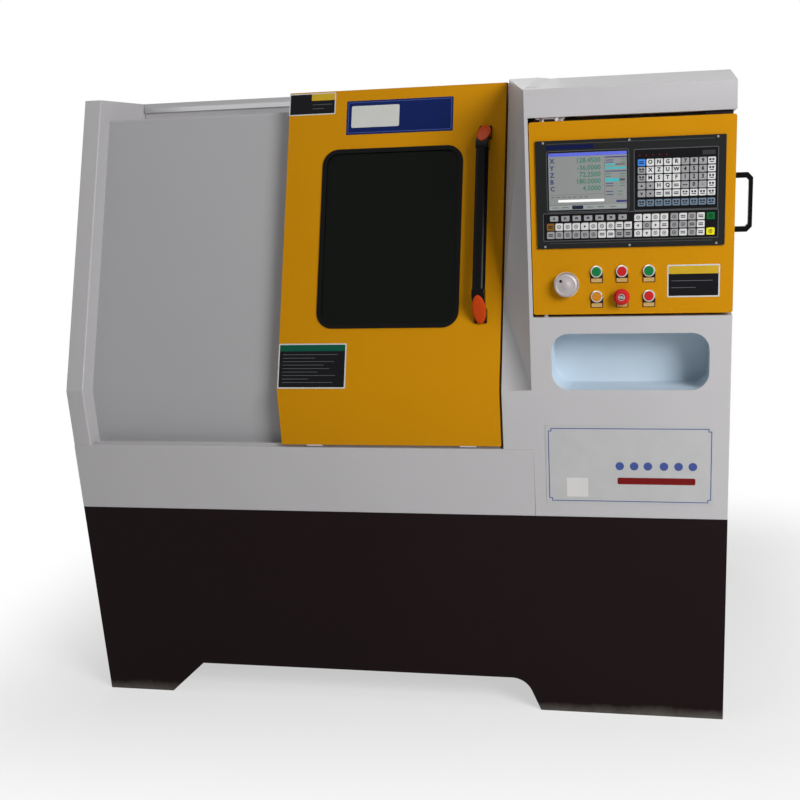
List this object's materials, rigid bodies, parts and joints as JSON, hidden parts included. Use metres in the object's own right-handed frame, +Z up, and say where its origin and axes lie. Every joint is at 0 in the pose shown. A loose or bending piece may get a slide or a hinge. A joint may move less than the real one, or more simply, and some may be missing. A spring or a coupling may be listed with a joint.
{
  "type": "cnc turning lathe",
  "caption": "Slant-bed turning lathe in a sheet-metal enclosure with a sliding window door, a swing-out operator box and a storage niche on a dark stand.",
  "frame": {"origin": "bottom centre of the whole machine's box, on the floor", "axes": "+X to the operator's right along the spindle, +Y from the operator side into the machine, +Z up"},
  "size_m": [1.853, 1.228, 1.7],
  "materials": {
    "white_paint": "satin powder coat",
    "niche_white": "satin powder coat",
    "yellow_paint": "satin powder coat",
    "base_paint": "satin dark paint",
    "machine_grey": "painted casting with ground faces",
    "bright_steel": "ground",
    "chuck_steel": "turned and ground",
    "turret_steel": "ground",
    "motor_paint": "matt black",
    "zinc_sheet": "zinc plated sheet",
    "belt_rubber": "matt",
    "lamp_diffuser": "frosted",
    "tinted_glass": "dark tinted, laminated",
    "handle_black": "fine texture",
    "cap_orange": "moulded",
    "panel_black": "anodised look",
    "screen": "lit screen",
    "key_grey": "membrane caps",
    "bezel_chrome": "polished",
    "button_green": "moulded",
    "button_red": "moulded",
    "button_amber": "moulded",
    "dial_aluminium": "satin turned",
    "switch_black": "moulded"
  },
  "bodies": {
    "machine": {"base_stand": "base_paint", "left_side_panel": "white_paint", "front_apron": "white_paint", "fixed_front_panel": "white_paint", "roof_panel": "white_paint", "door_rail": "bright_steel", "control_cabinet": "white_paint", "niche_liner": "niche_white", "rear_panel": "white_paint", "chamber_bulkhead": "white_paint", "bed_casting": "machine_grey", "bed_rails": "bright_steel", "headstock": "machine_grey", "spindle_bearings": "bright_steel", "spindle_motor": "motor_paint", "drive_belt": "belt_rubber", "z_servo": "motor_paint", "screw_supports": "bright_steel", "chip_tray": "zinc_sheet", "work_light": "lamp_diffuser", "electrical_equipment": "zinc_sheet"},
    "coolant_unit": {"coolant_tank": "zinc_sheet", "coolant_pump": "motor_paint"},
    "door": {"door_panel": "yellow_paint", "window_glass": "tinted_glass", "window_seal": "belt_rubber", "door_handle_bar": "handle_black", "door_handle_ends": "handle_black", "door_handle_caps": "cap_orange", "door_carriages": "bright_steel"},
    "operator_unit": {"operator_box": "yellow_paint", "control_panel": "panel_black", "display": "screen", "key_pads": "key_grey", "control_bezels": "bezel_chrome", "side_grip": "handle_black"},
    "push_green_left": {"button_green_left": "button_green"},
    "push_red_upper": {"button_red_upper": "button_red"},
    "push_green_right": {"button_green_right": "button_green"},
    "push_amber": {"button_amber": "button_amber"},
    "push_red_lower": {"button_red_lower": "button_red"},
    "stop_head": {"emergency_stop": "button_red"},
    "dial": {"handwheel": "dial_aluminium"},
    "spindle_set": {"spindle": "bright_steel", "chuck_body": "chuck_steel", "spindle_pulley": "chuck_steel"},
    "jaw_one": {"chuck_jaw_1": "chuck_steel"},
    "jaw_two": {"chuck_jaw_2": "chuck_steel"},
    "jaw_three": {"chuck_jaw_3": "chuck_steel"},
    "motor_rotor": {"motor_pulley": "chuck_steel"},
    "long_screw": {"z_screw": "bright_steel"},
    "cross_screw": {"x_screw": "bright_steel"},
    "saddle_unit": {"saddle": "machine_grey", "x_servo": "motor_paint"},
    "cross_unit": {"cross_slide": "machine_grey"},
    "turret": {"turret_disc": "turret_steel", "tool_holders": "turret_steel"},
    "hatch": {"electrical_hatch": "white_paint"},
    "lock": {"cam_lock": "bezel_chrome"},
    "isolator": {"main_switch": "switch_black"}
  },
  "joints": [
    {"name": "door_slide", "type": "slide", "parent": "machine", "child": "door", "axis": [-1, 0, 0], "range_m": [0, 0.55]},
    {"name": "operator_box_swing", "type": "hinge", "parent": "machine", "child": "operator_unit", "pos_m": [0.4245, -0.574, 1.346], "axis": [0, 0, -1], "range_deg": [0, 80]},
    {"name": "push_green_left_press", "type": "slide", "parent": "operator_unit", "child": "push_green_left", "axis": [0, 1, 0], "range_m": [0, 0.003], "stiffness_N_per_m": 400},
    {"name": "push_red_upper_press", "type": "slide", "parent": "operator_unit", "child": "push_red_upper", "axis": [0, 1, 0], "range_m": [0, 0.003], "stiffness_N_per_m": 400},
    {"name": "push_green_right_press", "type": "slide", "parent": "operator_unit", "child": "push_green_right", "axis": [0, 1, 0], "range_m": [0, 0.003], "stiffness_N_per_m": 400},
    {"name": "push_amber_press", "type": "slide", "parent": "operator_unit", "child": "push_amber", "axis": [0, 1, 0], "range_m": [0, 0.003], "stiffness_N_per_m": 400},
    {"name": "emergency_stop_push", "type": "slide", "parent": "operator_unit", "child": "stop_head", "axis": [0, 1, 0], "range_m": [0, 0.004]},
    {"name": "push_red_lower_press", "type": "slide", "parent": "operator_unit", "child": "push_red_lower", "axis": [0, 1, 0], "range_m": [0, 0.003], "stiffness_N_per_m": 400},
    {"name": "handwheel_turn", "type": "hinge", "parent": "operator_unit", "child": "dial", "pos_m": [0.4788, -0.596, 1.1895], "axis": [0, -1, 0], "continuous": true},
    {"name": "spindle_spin", "type": "hinge", "parent": "machine", "child": "spindle_set", "pos_m": [-0.5265, -0.156, 1.11], "axis": [1, 0, 0], "continuous": true},
    {"name": "motor_spin", "type": "hinge", "parent": "machine", "child": "motor_rotor", "pos_m": [-0.7035, -0.396, 0.715], "axis": [1, 0, 0], "continuous": true},
    {"name": "jaw_one_slide", "type": "slide", "parent": "spindle_set", "child": "jaw_one", "axis": [0, 0, 1], "range_m": [-0.018, 0.018]},
    {"name": "jaw_two_slide", "type": "slide", "parent": "spindle_set", "child": "jaw_two", "axis": [0, -0.866, -0.5], "range_m": [-0.018, 0.018]},
    {"name": "jaw_three_slide", "type": "slide", "parent": "spindle_set", "child": "jaw_three", "axis": [0, 0.866, -0.5], "range_m": [-0.018, 0.018]},
    {"name": "saddle_slide", "type": "slide", "parent": "machine", "child": "saddle_unit", "axis": [-1, 0, 0], "range_m": [0, 0.22]},
    {"name": "long_screw_spin", "type": "hinge", "parent": "machine", "child": "long_screw", "pos_m": [-0.1265, 0.06886, 0.99828], "axis": [1, 0, 0], "continuous": true},
    {"name": "cross_slide_move", "type": "slide", "parent": "saddle_unit", "child": "cross_unit", "axis": [0, -0.7071, -0.7071], "range_m": [0, 0.15]},
    {"name": "cross_screw_spin", "type": "hinge", "parent": "saddle_unit", "child": "cross_screw", "pos_m": [0.221, 0.08017, 1.15667], "axis": [0, 0.7071, 0.7071], "continuous": true},
    {"name": "turret_index", "type": "hinge", "parent": "cross_unit", "child": "turret", "pos_m": [0.1035, 0.06674, 1.33274], "axis": [1, 0, 0], "continuous": true},
    {"name": "coolant_tank_slide", "type": "slide", "parent": "machine", "child": "coolant_unit", "axis": [0, 1, 0], "range_m": [0, 0.45]},
    {"name": "hatch_swing", "type": "hinge", "parent": "machine", "child": "hatch", "pos_m": [0.8915, 0.557, 1.1], "axis": [0, 0, 1], "range_deg": [0, 110]},
    {"name": "lock_turn", "type": "hinge", "parent": "hatch", "child": "lock", "pos_m": [0.8835, -0.086, 1.1], "axis": [1, 0, 0], "range_deg": [0, 90]},
    {"name": "isolator_turn", "type": "hinge", "parent": "hatch", "child": "isolator", "pos_m": [0.8835, -0.006, 1.42], "axis": [1, 0, 0], "range_deg": [0, 90]}
  ],
  "couplings": [
    {"joint": "motor_spin", "follows": "spindle_spin", "ratio": 1.5},
    {"joint": "jaw_two_slide", "follows": "jaw_one_slide", "ratio": 1},
    {"joint": "jaw_three_slide", "follows": "jaw_one_slide", "ratio": 1},
    {"joint": "long_screw_spin", "follows": "saddle_slide", "rad_per_m": 628.32},
    {"joint": "cross_screw_spin", "follows": "cross_slide_move", "rad_per_m": 628.32}
  ]
}
